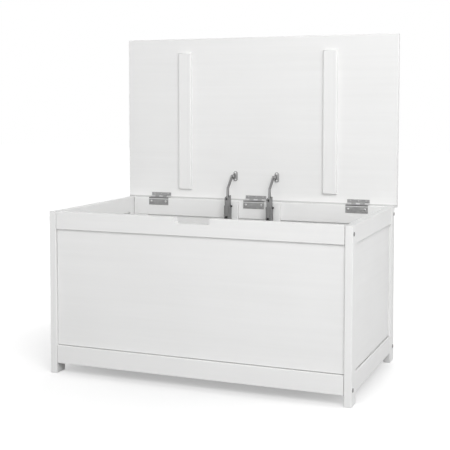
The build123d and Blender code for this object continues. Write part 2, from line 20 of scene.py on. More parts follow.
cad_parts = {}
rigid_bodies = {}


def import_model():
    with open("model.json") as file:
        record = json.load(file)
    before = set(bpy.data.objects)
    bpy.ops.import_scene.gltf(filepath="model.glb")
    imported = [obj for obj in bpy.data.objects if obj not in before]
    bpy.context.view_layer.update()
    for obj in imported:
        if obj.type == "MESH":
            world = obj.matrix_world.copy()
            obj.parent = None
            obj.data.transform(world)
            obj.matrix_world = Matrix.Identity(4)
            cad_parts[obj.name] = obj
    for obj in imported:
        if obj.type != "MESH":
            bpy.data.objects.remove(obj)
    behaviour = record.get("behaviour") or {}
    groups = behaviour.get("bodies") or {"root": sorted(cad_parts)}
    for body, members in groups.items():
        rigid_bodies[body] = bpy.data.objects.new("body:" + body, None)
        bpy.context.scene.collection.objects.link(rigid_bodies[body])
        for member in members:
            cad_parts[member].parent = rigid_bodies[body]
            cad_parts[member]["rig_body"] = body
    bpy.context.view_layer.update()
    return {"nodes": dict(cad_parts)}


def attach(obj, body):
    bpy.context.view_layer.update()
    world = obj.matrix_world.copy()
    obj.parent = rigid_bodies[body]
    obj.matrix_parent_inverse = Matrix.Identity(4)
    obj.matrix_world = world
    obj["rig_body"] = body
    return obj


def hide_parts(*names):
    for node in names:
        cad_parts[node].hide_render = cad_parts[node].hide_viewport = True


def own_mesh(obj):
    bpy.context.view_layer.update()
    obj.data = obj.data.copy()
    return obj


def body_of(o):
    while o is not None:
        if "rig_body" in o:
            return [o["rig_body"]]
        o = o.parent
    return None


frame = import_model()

Colour = tuple[float, float, float]
Point = tuple[float, float, float]
Profile = tuple[tuple[float, float], ...]
Node = bpy.types.Node
Shape = bmesh.types.BMesh
Socket = bpy.types.NodeSocket

LOG = logging.getLogger("toy_box")
UP = Vector((0, 0, 1))
TO_FRONT = Vector((0, -1, 0))
TO_REAR = Vector((0, 1, 0))
TO_RIGHT = Vector((1, 0, 0))
FULL_TURN = 2 * math.pi

# Points of a node's mesh that are nearer than this are one point, and so are those at a lathe's pole
NODE_MERGE = 2e-6
POLE_MERGE = 1e-7

# Faces of a node that turn by less than this, in degrees, are one flat face
FLAT_WITHIN = 0.5

# Places of the sockets of a colour Mix node
MIX_SHARE = 0
MIX_FIRST = 6
MIX_SECOND = 7
MIX_RESULT = 2


class Slot(Enum):
    """The record's material slots; no piece here is given one."""

    WHITE_PAINT = "white_painted_wood"
    ZINC = "zinc_plate"
    STEEL = "bright_steel"
    BOLT = "grey_bolt"
    ENAMEL = "grey_enamel"
    GREY_PLASTIC = "grey_plastic"
    BLACK_PLASTIC = "black_plastic"


class Grain(Enum):
    """Which way a board's grain runs, as the stretch of its pattern."""

    ALONG_X = (0.035, 1.0, 1.0)
    ALONG_Y = (1.0, 0.035, 1.0)
    ALONG_Z = (1.0, 1.0, 0.035)


class Recess(Enum):
    """The drive that is sunk in the head of a fastener."""

    CROSS = "cross"
    HEX = "hex"
    SLOT = "slot"


class Crisp(Enum):
    """The angle in degrees past which the edges of a piece stay crisp."""

    SCREW_HEAD = 32.0
    TURNED = 40.0
    SOFTENED = 50.0
    WIRE = 60.0


class Bench:
    """Adds nodes to one node tree and joins them."""

    def __init__(self, tree: bpy.types.NodeTree) -> None:
        """Keep the tree that the nodes go into.

        Args:
            tree: The node tree of a material, a group or the world.
        """
        self.tree = tree

    def node(self, kind: str, **settings: object) -> Node:
        """Add a node.

        Args:
            kind: Blender's name for the type of node.
            **settings: Properties to set on the node.

        Returns:
            The new node.
        """
        made = self.tree.nodes.new(kind)
        for key, value in settings.items():
            setattr(made, key, value)
        return made

    def feed(self, node: Node, name: str | int, value: object) -> None:
        """Give an input a number, a colour or another node's output.

        Args:
            node: The node to feed.
            name: The input's name or place.
            value: A socket to join, or a plain value.
        """
        if isinstance(value, Socket):
            self.tree.links.new(value, node.inputs[name])
        else:
            node.inputs[name].default_value = value

    def sum(self, kind: str, first: object, second: object, clamp: bool = False) -> Socket:
        """Work out one step of arithmetic.

        Args:
            kind: The operation of a Math node.
            first: The first value or socket.
            second: The second value or socket.
            clamp: Whether the result is kept between 0 and 1.

        Returns:
            The result's socket.
        """
        made = self.node("ShaderNodeMath", operation=kind, use_clamp=clamp)
        self.feed(made, 0, first)
        self.feed(made, 1, second)
        return made.outputs[0]

    def weigh(self, *parts: tuple[Socket, float]) -> Socket:
        """Add patterns up by weight.

        Args:
            *parts: Each pattern with its weight.

        Returns:
            The weighted sum.
        """
        weighed = [self.sum("MULTIPLY", pattern, weight) for pattern, weight in parts]
        total = weighed[0]
        for item in weighed[1:]:
            total = self.sum("ADD", total, item)
        return total

    def noise(self, vector: Socket, scale: object, detail: float, rough: float = 0.5) -> Socket:
        """Add a noise pattern.

        Args:
            vector: The coordinates to read.
            scale: Spots per metre, as a number or a socket.
            detail: Octaves of finer spots.
            rough: The weight of the finer spots.

        Returns:
            The pattern's value, near 0.5 on average.
        """
        made = self.node("ShaderNodeTexNoise")
        for name, item in {"Vector": vector, "Scale": scale, "Detail": detail, "Roughness": rough}.items():
            self.feed(made, name, item)
        return made.outputs["Fac"]

    def spread(
        self, value: Socket, low: float = 0.0, high: float = 1.0, start: float = 0.3, end: float = 0.7
    ) -> Socket:
        """Spread a pattern over a range of its own.

        Args:
            value: The pattern's socket.
            low: The result where the pattern is at start or under.
            high: The result where the pattern is at end or over.
            start: The pattern's lower edge.
            end: The pattern's upper edge.

        Returns:
            The spread value.
        """
        made = self.node("ShaderNodeMapRange", clamp=True)
        limits = {"Value": value, "From Min": start, "From Max": end, "To Min": low, "To Max": high}
        for name, item in limits.items():
            self.feed(made, name, item)
        return made.outputs["Result"]

    def mix(self, share: Socket, first: object, second: Colour) -> Socket:
        """Mix two colours by a pattern.

        Args:
            share: The share of the second colour.
            first: The colour, or its socket, where the share is 0.
            second: The colour where the share is 1.

        Returns:
            The mixed colour.
        """
        made = self.node("ShaderNodeMix", data_type="RGBA")
        self.feed(made, MIX_SHARE, share)
        self.feed(made, MIX_FIRST, first if isinstance(first, Socket) else (*first, 1.0))
        self.feed(made, MIX_SECOND, (*second, 1.0))
        return made.outputs[MIX_RESULT]

    def stretch(self, vector: Socket, scale: Point) -> Socket:
        """Scale coordinates, so that a pattern grows long in one direction.

        Args:
            vector: The coordinates.
            scale: The scale in each direction.

        Returns:
            The scaled coordinates.
        """
        made = self.node("ShaderNodeMapping")
        self.feed(made, "Vector", vector)
        self.feed(made, "Scale", scale)
        return made.outputs[0]

    def bump(self, shader: Node, height: Socket, strength: float, depth: float) -> None:
        """Let a pattern's height turn the shader's normal.

        Args:
            shader: The Principled shader.
            height: The pattern's socket.
            strength: How much of the height shows.
            depth: The height's size in metres.
        """
        made = self.node("ShaderNodeBump")
        for name, item in {"Strength": strength, "Distance": depth, "Height": height}.items():
            self.feed(made, name, item)
        self.feed(shader, "Normal", made.outputs["Normal"])

    def group(self, tree: bpy.types.NodeTree, **inputs: object) -> Node:
        """Place a shader group.

        Args:
            tree: The group.
            **inputs: Its inputs by name.

        Returns:
            The group's node.
        """
        made = self.node("ShaderNodeGroup", node_tree=tree)
        for name, value in inputs.items():
            self.feed(made, name, value)
        return made


class PatternGroup:
    """A shader group with named inputs and outputs that is built once."""

    name: str = ""
    vectors: tuple[str, ...] = ("Vector",)
    numbers: tuple[tuple[str, float], ...] = ()
    outputs: tuple[str, ...] = ()

    def tree(self) -> bpy.types.NodeTree:
        """Find the group, or build it.

        Returns:
            The group's node tree.
        """
        found = bpy.data.node_groups.get(self.name)
        if found:
            return found
        made = bpy.data.node_groups.new(self.name, "ShaderNodeTree")
        for name in self.vectors:
            made.interface.new_socket(name, in_out="INPUT", socket_type="NodeSocketVector")
        for name, value in self.numbers:
            number = made.interface.new_socket(name, in_out="INPUT", socket_type="NodeSocketFloat")
            number.default_value = value
        for name in self.outputs:
            made.interface.new_socket(name, in_out="OUTPUT", socket_type="NodeSocketFloat")
        bench = Bench(made)
        start = bench.node("NodeGroupInput")
        end = bench.node("NodeGroupOutput")
        for name, socket in self.patterns(bench, start).items():
            bench.feed(end, name, socket)
        return made

    def patterns(self, bench: Bench, start: Node) -> dict[str, Socket]:
        """Build the patterns inside the group.

        Args:
            bench: The bench of the group's tree.
            start: The group's input node.

        Returns:
            A socket for each output.
        """
        raise NotImplementedError


class SprayFilm(PatternGroup):
    """The film that a spray gun leaves: broad tone, patches of gloss, and fine orange peel."""

    name = "spray_film"
    numbers = (("Peel Scale", 900.0),)
    outputs = ("Tone", "Gloss", "Peel")

    def patterns(self, bench: Bench, start: Node) -> dict[str, Socket]:
        """Build tone, gloss and peel.

        Args:
            bench: The bench of the group's tree.
            start: The group's input node.

        Returns:
            A socket for each output.
        """
        vector = start.outputs["Vector"]
        tone = bench.spread(bench.noise(vector, scale=3.0, detail=3.0))
        gloss = bench.spread(bench.noise(vector, scale=26.0, detail=4.0, rough=0.6))
        peel = bench.noise(vector, start.outputs["Peel Scale"], detail=1.5)
        return {"Tone": tone, "Gloss": gloss, "Peel": peel}


class BoardGrain(PatternGroup):
    """Wood grain in long streaks, with fine pores between them."""

    name = "board_grain"
    numbers = (("Streak Scale", 70.0), ("Pore Scale", 520.0))
    outputs = ("Streak", "Pore")

    def patterns(self, bench: Bench, start: Node) -> dict[str, Socket]:
        """Build streaks and pores.

        Args:
            bench: The bench of the group's tree.
            start: The group's input node.

        Returns:
            A socket for each output.
        """
        vector = start.outputs["Vector"]
        streak = bench.spread(bench.noise(vector, start.outputs["Streak Scale"], detail=5.0, rough=0.62))
        pore = bench.noise(vector, start.outputs["Pore Scale"], detail=2.0)
        return {"Streak": streak, "Pore": bench.spread(pore, start=0.45, end=0.75)}


class RolledSheet(PatternGroup):
    """Rolled and plated metal: drawn streaks, a cloudy plating and fine pits."""

    name = "rolled_sheet"
    numbers = (("Cloud Scale", 140.0), ("Pit Scale", 1500.0))
    outputs = ("Streak", "Cloud", "Pit")

    def patterns(self, bench: Bench, start: Node) -> dict[str, Socket]:
        """Build streaks, clouds and pits.

        Args:
            bench: The bench of the group's tree.
            start: The group's input node.

        Returns:
            A socket for each output.
        """
        vector = start.outputs["Vector"]
        drawn = bench.stretch(vector, (0.04, 1.0, 1.0))
        streak = bench.spread(bench.noise(drawn, scale=2200.0, detail=3.0))
        cloud = bench.spread(bench.noise(vector, start.outputs["Cloud Scale"], detail=3.0, rough=0.6))
        pit = bench.noise(vector, start.outputs["Pit Scale"], detail=2.0)
        return {"Streak": streak, "Cloud": cloud, "Pit": pit}


class NarrowBand(PatternGroup):
    """A soft-edged band across one direction, such as painted shade in a gap or painted shade and highlight
    on a hinge's bend.
    """

    name = "narrow_band"
    vectors = ()
    numbers = (("Place", 0.0), ("Middle", 0.0), ("Half Width", 0.001))
    outputs = ("Share",)

    def patterns(self, bench: Bench, start: Node) -> dict[str, Socket]:
        """Build the band.

        Args:
            bench: The bench of the group's tree.
            start: The group's input node.

        Returns:
            A socket for each output.
        """
        away = bench.sum("SUBTRACT", start.outputs["Place"], start.outputs["Middle"])
        steps = bench.sum("DIVIDE", bench.sum("ABSOLUTE", away, 0.0), start.outputs["Half Width"])
        return {"Share": bench.spread(steps, low=1.0, high=0.0, start=0.8, end=1.2)}


@dataclass(frozen=True)
class Band:
    """A band of another colour on a finish, square to one direction.

    Attributes:
        across: The direction, X, Y or Z.
        middle: Where the band's middle is in that direction, in metres.
        half: Half its width.
        colour: Its colour.
        within: A second direction, middle and half width, where the band is on one face only.
    """

    across: str
    middle: float
    half: float
    colour: Colour
    within: tuple[str, float, float] | None = None

    def over(self, bench: Bench, place: Socket, under: Socket) -> Socket:
        """Lay the band over a colour.

        Args:
            bench: The material's bench.
            place: The piece's own coordinates.
            under: The colour that it lies on.

        Returns:
            The colour with the band.
        """
        apart = bench.node("ShaderNodeSeparateXYZ")
        bench.feed(apart, 0, place)
        share = self.share(bench, apart, self.across, self.middle, self.half)
        if self.within:
            share = bench.sum("MULTIPLY", share, self.share(bench, apart, *self.within))
        return bench.mix(share, under, self.colour)

    @staticmethod
    def share(bench: Bench, apart: Node, across: str, middle: float, half: float) -> Socket:
        """Tell where a surface is within a band.

        Args:
            bench: The material's bench.
            apart: The node that takes the piece's own coordinates apart.
            across: The direction, X, Y or Z.
            middle: The middle of the band.
            half: Half its width.

        Returns:
            1 within the band and 0 away from it.
        """
        sizes = {"Place": apart.outputs[across], "Middle": middle, "Half Width": half}
        return bench.group(NarrowBand().tree(), **sizes).outputs["Share"]


class Finish:
    """A finish whose material is made once and reads the piece's own coordinates."""

    name: str

    def material(self) -> bpy.types.Material:
        """Find the material, or make it.

        Returns:
            The material.
        """
        found = bpy.data.materials.get(self.name)
        if found:
            return found
        made = bpy.data.materials.new(self.name)
        made.use_nodes = True
        bench = Bench(made.node_tree)
        shader = next(node for node in made.node_tree.nodes if node.type == "BSDF_PRINCIPLED")
        self.lay(bench, shader, bench.node("ShaderNodeTexCoord").outputs["Object"])
        return made

    def lay(self, bench: Bench, shader: Node, place: Socket) -> None:
        """Set the shader's colour, gloss and relief.

        Args:
            bench: The material's bench.
            shader: The Principled shader.
            place: The piece's own coordinates.
        """
        raise NotImplementedError


@dataclass(frozen=True)
class PaintedWood(Finish):
    """Satin white paint over solid wood, with the grain just showing through.

    Attributes:
        grain: Which way the board's grain runs.
        board: The board's name, which names its material where it carries painted shade.
        painted_shade: Bands of painted shade in its gaps and seams.
        light: The paint where it is brightest.
        dark: The paint in its faint streaks.
        gloss: The roughness of the shiniest patches.
        dull: The roughness of the dullest patches.
    """

    grain: Grain
    board: str = "board"
    painted_shade: tuple[Band, ...] = ()
    light: Colour = (0.835, 0.835, 0.832)
    dark: Colour = (0.79, 0.79, 0.785)
    gloss: float = 0.46
    dull: float = 0.58

    @property
    def name(self) -> str:
        """Name the material after the board and the way of its grain."""
        return f"painted_{self.board}_{self.grain.name.lower()}"

    def lay(self, bench: Bench, shader: Node, place: Socket) -> None:
        """Lay the paint over the grain.

        Args:
            bench: The material's bench.
            shader: The Principled shader.
            place: The piece's own coordinates.
        """
        film = bench.group(SprayFilm().tree(), Vector=place).outputs
        grain = bench.group(BoardGrain().tree(), Vector=bench.stretch(place, self.grain.value)).outputs
        share = bench.weigh((grain["Streak"], 0.45), (film["Tone"], 0.55))
        colour = bench.mix(share, self.dark, self.light)
        # Lay the bands of painted shade in the board's gaps and seams
        for band in self.painted_shade:
            colour = band.over(bench, place, colour)
        bench.feed(shader, "Base Color", colour)
        bench.feed(shader, "Roughness", bench.spread(film["Gloss"], self.gloss, self.dull, 0.0, 1.0))
        height = bench.weigh((film["Peel"], 0.35), (grain["Streak"], 0.6), (grain["Pore"], 0.5))
        bench.bump(shader, height, strength=0.1, depth=0.0004)


@dataclass(frozen=True)
class BareWood(Finish):
    """Unfinished wood of the dowels.

    Attributes:
        name: The material's name.
        light: The colour between the streaks.
        dark: The colour of the streaks.
        smooth: The roughness between the pores.
        coarse: The roughness in the pores.
    """

    name: str = "bare_beech"
    light: Colour = (0.6, 0.41, 0.22)
    dark: Colour = (0.42, 0.26, 0.12)
    smooth: float = 0.6
    coarse: float = 0.75

    def lay(self, bench: Bench, shader: Node, place: Socket) -> None:
        """Show the grain.

        Args:
            bench: The material's bench.
            shader: The Principled shader.
            place: The piece's own coordinates.
        """
        along = bench.stretch(place, Grain.ALONG_X.value)
        grain = bench.group(BoardGrain().tree(), Vector=along).outputs
        bench.feed(shader, "Base Color", bench.mix(grain["Streak"], self.dark, self.light))
        bench.feed(shader, "Roughness", bench.spread(grain["Pore"], self.smooth, self.coarse, 0.0, 1.0))
        bench.bump(shader, grain["Pore"], strength=0.25, depth=0.0003)


@dataclass(frozen=True)
class PlatedMetal(Finish):
    """Zinc or nickel over steel.

    Attributes:
        name: The material's name.
        light: The plating where it is clear.
        dark: The plating where it is cloudy.
        smooth: The roughness where it is most polished.
        dull: The roughness where it is dullest.
        painted_light_bands: Bands of painted shade and painted highlight laid over the plating.
    """

    name: str
    light: Colour
    dark: Colour
    smooth: float = 0.3
    dull: float = 0.45
    painted_light_bands: tuple[Band, ...] = ()

    def lay(self, bench: Bench, shader: Node, place: Socket) -> None:
        """Lay the plating and its bands of painted shade and painted highlight.

        Args:
            bench: The material's bench.
            shader: The Principled shader.
            place: The piece's own coordinates.
        """
        sheet = bench.group(RolledSheet().tree(), Vector=place).outputs
        share = bench.weigh((sheet["Streak"], 0.4), (sheet["Cloud"], 0.6))
        colour = bench.mix(share, self.dark, self.light)
        # Bands of painted shade and painted highlight go over the plating's colour
        for band in self.painted_light_bands:
            colour = band.over(bench, place, colour)
        bench.feed(shader, "Base Color", colour)
        bench.feed(shader, "Metallic", 1.0)
        bench.feed(shader, "Roughness", bench.spread(sheet["Cloud"], self.smooth, self.dull, 0.0, 1.0))
        height = bench.weigh((sheet["Pit"], 1.0), (sheet["Streak"], 0.5))
        bench.bump(shader, height, strength=0.08, depth=0.0001)


@dataclass(frozen=True)
class CoatedGrey(Finish):
    """Enamel on sheet steel, or moulded plastic with a fine spark texture.

    Attributes:
        name: The material's name.
        light: The colour where it is brightest.
        dark: The colour where it is darkest.
        gloss: The roughness of the shiniest patches.
        dull: The roughness of the dullest patches.
        peel: Spots of surface texture per metre.
        relief: How strongly the texture shows.
    """

    name: str
    light: Colour
    dark: Colour
    gloss: float = 0.32
    dull: float = 0.45
    peel: float = 1100.0
    relief: float = 0.12

    def lay(self, bench: Bench, shader: Node, place: Socket) -> None:
        """Lay the coat or the moulded surface.

        Args:
            bench: The material's bench.
            shader: The Principled shader.
            place: The piece's own coordinates.
        """
        film = bench.group(SprayFilm().tree(), **{"Vector": place, "Peel Scale": self.peel}).outputs
        share = bench.weigh((film["Gloss"], 0.5), (film["Peel"], 0.5))
        bench.feed(shader, "Base Color", bench.mix(share, self.dark, self.light))
        bench.feed(shader, "Roughness", bench.spread(film["Gloss"], self.gloss, self.dull, 0.0, 1.0))
        bench.bump(shader, film["Peel"], self.relief, depth=0.0002)


ZINC_SHEET = PlatedMetal("zinc_sheet", light=(0.42, 0.42, 0.42), dark=(0.32, 0.32, 0.32))
# The fixed leaves' zinc, with painted shade and painted highlights at the bend and the knuckle
ZINC_WITH_PAINTED_LIGHT = PlatedMetal(
    "zinc_with_painted_light",
    light=(0.42, 0.42, 0.42),
    dark=(0.32, 0.32, 0.32),
    painted_light_bands=(
        # Painted shade: a dark line along the bend over the rail, under the knuckle
        Band("Z", middle=0.4297, half=0.0011, colour=(0.1, 0.1, 0.1)),
        # Painted highlight on the flange just below the bend
        Band("Z", middle=0.4268, half=0.0012, colour=(0.66, 0.66, 0.66)),
        # Painted highlight along the knuckle
        Band("Z", middle=0.4333, half=0.0022, colour=(0.6, 0.6, 0.6)),
    ),
)
LINK_ZINC = PlatedMetal("link_zinc", light=(0.3, 0.3, 0.3), dark=(0.24, 0.24, 0.24))
BRACKET_ZINC = PlatedMetal("bracket_zinc", light=(0.38, 0.38, 0.38), dark=(0.3, 0.3, 0.3))
BRIGHT_STEEL = PlatedMetal(
    "bright_steel", light=(0.72, 0.72, 0.72), dark=(0.6, 0.6, 0.6), smooth=0.2, dull=0.32
)
DULL_STEEL = PlatedMetal("dull_steel", light=(0.5, 0.5, 0.5), dark=(0.4, 0.4, 0.4))
GREY_BOLT = PlatedMetal(
    "grey_bolt", light=(0.11, 0.11, 0.11), dark=(0.08, 0.08, 0.08), smooth=0.5, dull=0.65
)
GREY_ENAMEL = CoatedGrey("grey_enamel", light=(0.25, 0.25, 0.25), dark=(0.2, 0.2, 0.2))
GREY_MOULDED = CoatedGrey(
    "grey_moulded",
    light=(0.24, 0.24, 0.24),
    dark=(0.2, 0.2, 0.2),
    gloss=0.4,
    dull=0.55,
    peel=2400.0,
    relief=0.2,
)
BLACK_MOULDED = CoatedGrey(
    "black_moulded", light=(0.02, 0.02, 0.02), dark=(0.012, 0.012, 0.012), peel=2400.0
)


@dataclass(frozen=True)
class EdgeWork:
    """How the edges of a softened copy are rounded.

    Attributes:
        width: The width of the rounding in metres.
        sharpest: The largest angle in degrees between faces whose edge is rounded.
        bluntest: The smallest such angle.
        shortest: The shortest edge, in metres, that is rounded.
        segments: Strips across the rounding.
    """

    width: float
    sharpest: float
    bluntest: float
    shortest: float
    segments: int = 2

    def round_edges(self, shape: Shape) -> None:
        """Round the edges that fall within the limits.

        Args:
            shape: The merged copy.
        """
        chosen = [edge for edge in shape.edges if self.takes(edge)]
        if chosen:
            bmesh.ops.bevel(
                shape,
                geom=chosen,
                offset=self.width,
                offset_type="OFFSET",
                affect="EDGES",
                segments=self.segments,
                profile=0.5,
                material=-1,
                clamp_overlap=True,
            )

    def takes(self, edge: bmesh.types.BMEdge) -> bool:
        """Tell whether an edge is rounded.

        Args:
            edge: An edge of the merged copy.

        Returns:
            True where it is long enough and its faces meet at a fitting angle.
        """
        if len(edge.link_faces) != 2 or edge.calc_length() < self.shortest:
            return False
        return self.bluntest < math.degrees(edge.calc_face_angle(0.0)) < self.sharpest


EASED_BOARD = EdgeWork(width=0.0004, sharpest=70.0, bluntest=30.0, shortest=0.006)
FOLDED_SHEET = EdgeWork(width=0.00018, sharpest=100.0, bluntest=40.0, shortest=0.0016)
MOULDED_EDGE = EdgeWork(width=0.00025, sharpest=100.0, bluntest=30.0, shortest=0.0016)


def settle(shape: Shape) -> None:
    """Put points and faces in order of place, so that every run gives the same mesh.

    Args:
        shape: The finished shape.
    """
    points = sorted(shape.verts, key=lambda point: point.co[:])
    faces = sorted(shape.faces, key=lambda face: face.calc_center_median()[:])
    for sequence, ordered in ((shape.verts, points), (shape.faces, faces)):
        ranks = {item: rank for rank, item in enumerate(ordered)}
        sequence.sort(key=ranks.get)
        sequence.index_update()


def place_piece(
    name: str, shape: Shape, finish: Finish, node: str, crisp: Crisp
) -> bpy.types.Object:
    """Make a piece of a finished shape that stands for a node and moves with its body.

    Args:
        name: The piece's name.
        shape: The shape, in place in the frame of the solids. It is freed.
        finish: The piece's finish.
        node: The node that the piece stands for.
        crisp: The angle past which an edge stays crisp.

    Returns:
        The piece.
    """
    mesh = bpy.data.meshes.new(name)
    settle(shape)
    shape.to_mesh(mesh)
    shape.free()
    mesh.polygons.foreach_set("use_smooth", [True] * len(mesh.polygons))
    mesh.set_sharp_from_angle(angle=math.radians(crisp.value))
    mesh.materials.append(finish.material())
    piece = bpy.data.objects.new(name, mesh)
    bpy.context.scene.collection.objects.link(piece)
    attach(piece, body_of(frame["nodes"][node])[0])
    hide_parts(node)
    LOG.info("%s stands for %s with %d faces", name, node, len(mesh.polygons))
    return piece


def soften(node: str, finish: Finish, work: EdgeWork) -> None:
    """Make a merged copy of a node, with its flat faces whole and its edges rounded.

    Args:
        node: The node to copy.
        finish: The copy's finish.
        work: How its edges are rounded.
    """
    shape = bmesh.new()
    shape.from_mesh(frame["nodes"][node].data)
    bmesh.ops.remove_doubles(shape, verts=shape.verts[:], dist=NODE_MERGE)
    bmesh.ops.dissolve_limit(
        shape,
        angle_limit=math.radians(FLAT_WITHIN),
        verts=shape.verts[:],
        edges=shape.edges[:],
        delimit={"NORMAL"},
    )
    work.round_edges(shape)
    piece = place_piece(f"{node}_softened", shape, finish, node, Crisp.SOFTENED)
    weighted = piece.modifiers.new("flat_faces", "WEIGHTED_NORMAL")
    weighted.keep_sharp = True


def lathe(shape: Shape, profile: Profile, segments: int) -> None:
    """Turn an open profile about the local Z axis.

    Args:
        shape: The shape to add to.
        profile: Radius and height of each point, from the axis outwards.
        segments: Strips round the axis.
    """
    points = [shape.verts.new((radius, 0.0, height)) for radius, height in profile]
    edges = [shape.edges.new(pair) for pair in zip(points, points[1:])]
    bmesh.ops.spin(
        shape, geom=points + edges, cent=(0, 0, 0), axis=UP, angle=FULL_TURN, steps=segments, use_merge=True
    )
    bmesh.ops.remove_doubles(shape, verts=shape.verts[:], dist=POLE_MERGE)


@dataclass(frozen=True)
class Fastener:
    """A turned fastener with a driven head, built along its own +Z axis with the head's seat at 0.

    Attributes:
        shank: The shank's radius.
        length: How far the shank goes in.
        head: The head's radius.
        height: The head's height.
        recess: The drive in the head.
        reach: The drive's half size.
        sink: The drive's depth.
        pointed: Whether the shank ends in a point, and not in a chamfer.
    """

    shank: float
    length: float
    head: float
    height: float
    recess: Recess
    reach: float
    sink: float
    pointed: bool = True

    # Strips round the axis, and the head's curve as shares of its radius and height
    STRIPS = 24
    HEAD_CURVE = ((1.0, 0.0), (1.0, 0.35), (0.95, 0.62), (0.84, 0.85), (0.66, 1.0))
    # The point and the chamfer as shares of the shank's radius
    POINT = 2.2
    CHAMFER = 0.3
    CHAMFERED_END = 0.7
    # The width of a cross or slot as a share of its reach, and the share left at the drive's floor
    DRIVE_WIDTH = 0.24
    DRIVE_TAPER = 0.8

    def profile(self) -> Profile:
        """Give the profile from the tip up to the rim round the drive.

        Returns:
            Radius and height of each point.
        """
        tip = (self.POINT if self.pointed else self.CHAMFER) * self.shank
        end: Profile = () if self.pointed else ((self.CHAMFERED_END * self.shank, -self.length),)
        shank: Profile = ((self.shank, -self.length + tip), (self.shank, 0.0))
        head = tuple((out * self.head, up * self.height) for out, up in self.HEAD_CURVE)
        return ((0.0, -self.length), *end, *shank, *head)

    def outline(self, shape: Shape) -> list[bmesh.types.BMEdge]:
        """Draw the drive's outline on top of the head, with as many points as the rim.

        Args:
            shape: The shape to add to.

        Returns:
            The outline's edges.
        """
        top = Matrix.Translation((0, 0, self.height))
        if self.recess is Recess.HEX:
            made = bmesh.ops.create_circle(shape, cap_ends=False, segments=6, radius=self.reach, matrix=top)
            points = made["verts"]
            edges = [edge for edge in shape.edges if edge.is_wire]
        else:
            points = [shape.verts.new((x, y, self.height)) for x, y in self.corners()]
            edges = [shape.edges.new(pair) for pair in zip(points, points[1:] + points[:1])]
        cuts = self.STRIPS // len(points) - 1
        if cuts:
            bmesh.ops.subdivide_edges(shape, edges=edges, cuts=cuts)
        return [edge for edge in shape.edges if edge.is_wire]

    def corners(self) -> list[tuple[float, float]]:
        """Give the corners of a cross or a slot.

        Returns:
            The corners in order round the outline.
        """
        wide = self.DRIVE_WIDTH * self.reach
        if self.recess is Recess.SLOT:
            return [(self.reach, -wide), (self.reach, wide), (-self.reach, wide), (-self.reach, -wide)]
        arm = [(self.reach, -wide), (self.reach, wide), (wide, wide)]
        turns = [arm]
        for _ in range(3):
            turns.append([(-y, x) for x, y in turns[-1]])
        return [corner for turn in turns for corner in turn]

    def build(self, shape: Shape, seat: Point, outward: Vector) -> None:
        """Add the fastener at its seat.

        Args:
            shape: The shape to add to.
            seat: Where the underside of the head rests.
            outward: The way the head looks.
        """
        part = bmesh.new()
        lathe(part, self.profile(), self.STRIPS)
        rim = [edge for edge in part.edges if edge.is_boundary]
        outline = self.outline(part)
        bmesh.ops.bridge_loops(part, edges=rim + outline)
        floor = bmesh.ops.contextual_create(part, geom=outline)["faces"]
        sunk = bmesh.ops.extrude_face_region(part, geom=floor)["geom"]
        points = [item for item in sunk if isinstance(item, bmesh.types.BMVert)]
        bmesh.ops.scale(part, vec=(self.DRIVE_TAPER, self.DRIVE_TAPER, 1.0), verts=points)
        bmesh.ops.translate(part, vec=(0, 0, -self.sink), verts=points)
        bmesh.ops.recalc_face_normals(part, faces=part.faces[:])
        turn = UP.rotation_difference(outward).to_matrix().to_4x4()
        bmesh.ops.transform(part, matrix=Matrix.Translation(seat) @ turn, verts=part.verts[:])
        append(shape, part)


def append(shape: Shape, part: Shape) -> None:
    """Add one shape to another.

    Args:
        shape: The shape that grows.
        part: The shape that is added. It is freed.
    """
    carrier = bpy.data.meshes.new("carrier")
    part.to_mesh(carrier)
    part.free()
    shape.from_mesh(carrier)
    bpy.data.meshes.remove(carrier)


@dataclass(frozen=True)
class Carcass:
    """The chest's own boards: legs, rails, stiles, panels, bottom and cleats.

    Attributes:
        along_x: Boards whose grain runs across the chest.
        along_y: Boards whose grain runs from front to back.
        along_z: Upright boards.
        panels: The panels: name, grain, the direction through them, and where the floor of their gap is.
        painted_shade_half: Half the height of the painted shade on the floor of the panels' gaps.
        painted_shade: The colour of that painted shade.
    """

    along_x: tuple[str, ...] = (
        "front_top_rail",
        "front_bottom_rail",
        "back_top_rail",
        "back_bottom_rail",
        "bottom_board",
        "front_ledger",
        "back_ledger",
    )
    along_y: tuple[str, ...] = (
        "left_top_rail",
        "left_bottom_rail",
        "right_top_rail",
        "right_bottom_rail",
    )
    along_z: tuple[str, ...] = (
        "front_left_leg",
        "front_right_leg",
        "back_left_leg",
        "back_right_leg",
        "back_left_stile",
        "back_right_stile",
        "left_cleat",
        "right_cleat",
    )
    panels: tuple[tuple[str, Grain, str, float], ...] = (
        ("front_panel", Grain.ALONG_X, "Y", -0.2312),
        ("back_panel", Grain.ALONG_X, "Y", 0.2152),
        ("left_panel", Grain.ALONG_Y, "X", -0.3977),
        ("right_panel", Grain.ALONG_Y, "X", 0.3977),
    )
    # The painted shade that darkens the panels' gaps
    painted_shade_half: float = 0.0012
    painted_shade: Colour = (0.4, 0.4, 0.395)

    def build(self) -> None:
        """Soften and paint every board of the chest."""
        runs = ((self.along_x, Grain.ALONG_X), (self.along_y, Grain.ALONG_Y), (self.along_z, Grain.ALONG_Z))
        for nodes, grain in runs:
            for node in nodes:
                soften(node, PaintedWood(grain), EASED_BOARD)
        for node, grain, across, gap in self.panels:
            # A band of painted shade on the floor of each panel's gap
            painted_shade = Band(across, gap, self.painted_shade_half, self.painted_shade)
            soften(node, PaintedWood(grain, node, (painted_shade,)), EASED_BOARD)


